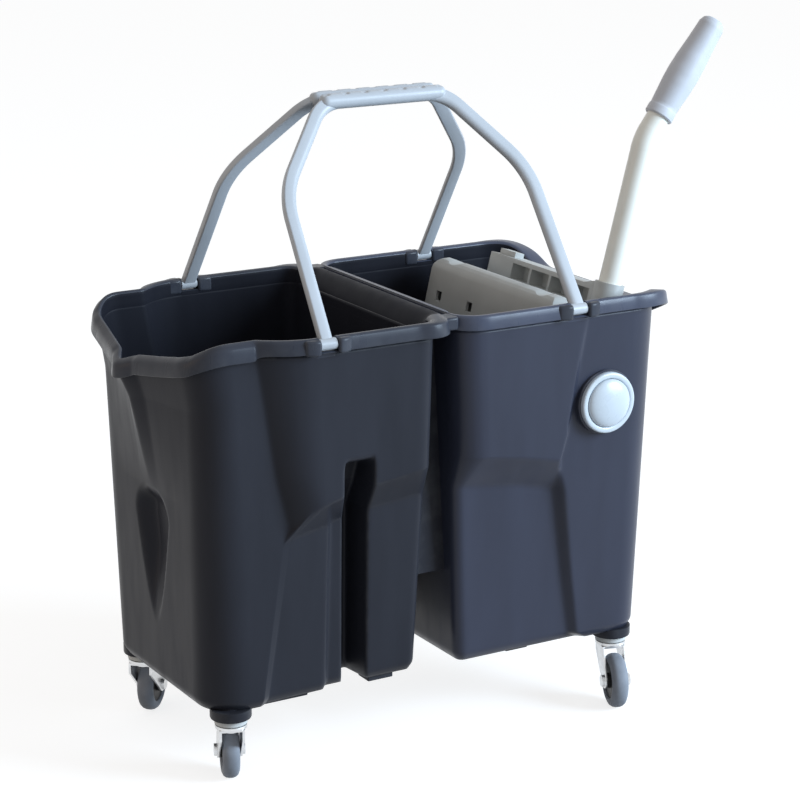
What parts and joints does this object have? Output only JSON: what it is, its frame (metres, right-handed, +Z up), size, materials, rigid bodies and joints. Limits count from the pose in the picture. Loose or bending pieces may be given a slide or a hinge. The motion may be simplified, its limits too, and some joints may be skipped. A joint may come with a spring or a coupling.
{
  "type": "double mop bucket trolley",
  "caption": "Mobile divided mop bucket with a wash side and a wringing side, folding carry bails, a lever-operated mop press and swivel castors.",
  "frame": {"origin": "on the floor, midway between the swivel axes of the castors", "axes": "+X along the length towards the press lever, +Y to the back, +Z up"},
  "size_m": [0.6692, 0.331, 0.7529],
  "materials": {
    "bucket_plastic": "satin moulded charcoal",
    "bail_plastic": "smooth light blue-grey",
    "jaw_plastic": "satin warm grey",
    "tube_coat": "cream powder coat",
    "grip_plastic": "satin lavender grey",
    "trim_plastic": "smooth light grey",
    "zinc_steel": "bright zinc plate",
    "race_plastic": "smooth white",
    "hub_plastic": "moulded black",
    "tyre_rubber": "grey non-marking rubber"
  },
  "bodies": {
    "base": {"bucket_body": "bucket_plastic", "fixed_jaw": "jaw_plastic", "pivot_bush_front": "trim_plastic", "pivot_bush_rear": "trim_plastic", "stem_fl": "zinc_steel", "race_fl": "race_plastic", "stem_fr": "zinc_steel", "race_fr": "race_plastic", "stem_bl": "zinc_steel", "race_bl": "race_plastic", "stem_br": "zinc_steel", "race_br": "race_plastic"},
    "front_bail": {"front_bail": "bail_plastic"},
    "rear_bail": {"rear_bail": "bail_plastic"},
    "press_lever": {"swing_jaw": "jaw_plastic", "lever_tube": "tube_coat", "lever_grip": "grip_plastic", "pivot_pin_front": "trim_plastic", "pivot_pin_rear": "trim_plastic"},
    "castor_fl": {"fork_fl": "zinc_steel", "axle_fl": "zinc_steel"},
    "wheel_fl": {"wheel_fl": "hub_plastic", "tyre_fl": "tyre_rubber"},
    "castor_fr": {"fork_fr": "zinc_steel", "axle_fr": "zinc_steel"},
    "wheel_fr": {"wheel_fr": "hub_plastic", "tyre_fr": "tyre_rubber"},
    "castor_bl": {"fork_bl": "zinc_steel", "axle_bl": "zinc_steel"},
    "wheel_bl": {"wheel_bl": "hub_plastic", "tyre_bl": "tyre_rubber"},
    "castor_br": {"fork_br": "zinc_steel", "axle_br": "zinc_steel"},
    "wheel_br": {"wheel_br": "hub_plastic", "tyre_br": "tyre_rubber"}
  },
  "joints": [
    {"name": "front_bail_hinge", "type": "hinge", "parent": "base", "child": "front_bail", "pos_m": [0, -0.157, 0.467], "axis": [1, 0, 0], "range_deg": [0, 105]},
    {"name": "rear_bail_hinge", "type": "hinge", "parent": "base", "child": "rear_bail", "pos_m": [0, 0.157, 0.467], "axis": [-1, 0, 0], "range_deg": [0, 105]},
    {"name": "press_hinge", "type": "hinge", "parent": "base", "child": "press_lever", "pos_m": [0.19, 0, 0.36], "axis": [0, -1, 0], "range_deg": [0, 16]},
    {"name": "swivel_fl", "type": "hinge", "parent": "base", "child": "castor_fl", "pos_m": [-0.2355, -0.106, 0.07], "axis": [0, 0, 1], "continuous": true},
    {"name": "roll_fl", "type": "hinge", "parent": "castor_fl", "child": "wheel_fl", "pos_m": [-0.22638, -0.08272, 0.03], "axis": [-0.9311, 0.3649, 0], "continuous": true},
    {"name": "swivel_fr", "type": "hinge", "parent": "base", "child": "castor_fr", "pos_m": [0.2355, -0.106, 0.07], "axis": [0, 0, 1], "continuous": true},
    {"name": "roll_fr", "type": "hinge", "parent": "castor_fr", "child": "wheel_fr", "pos_m": [0.22683, -0.12945, 0.03], "axis": [0.9379, -0.3469, 0], "continuous": true},
    {"name": "swivel_bl", "type": "hinge", "parent": "base", "child": "castor_bl", "pos_m": [-0.2355, 0.106, 0.07], "axis": [0, 0, 1], "continuous": true},
    {"name": "roll_bl", "type": "hinge", "parent": "castor_bl", "child": "wheel_bl", "pos_m": [-0.21835, 0.12419, 0.03], "axis": [-0.7278, 0.6858, 0], "continuous": true},
    {"name": "swivel_br", "type": "hinge", "parent": "base", "child": "castor_br", "pos_m": [0.2355, 0.106, 0.07], "axis": [0, 0, 1], "continuous": true},
    {"name": "roll_br", "type": "hinge", "parent": "castor_br", "child": "wheel_br", "pos_m": [0.248, 0.12765, 0.03], "axis": [-0.866, 0.5, 0], "continuous": true}
  ]
}
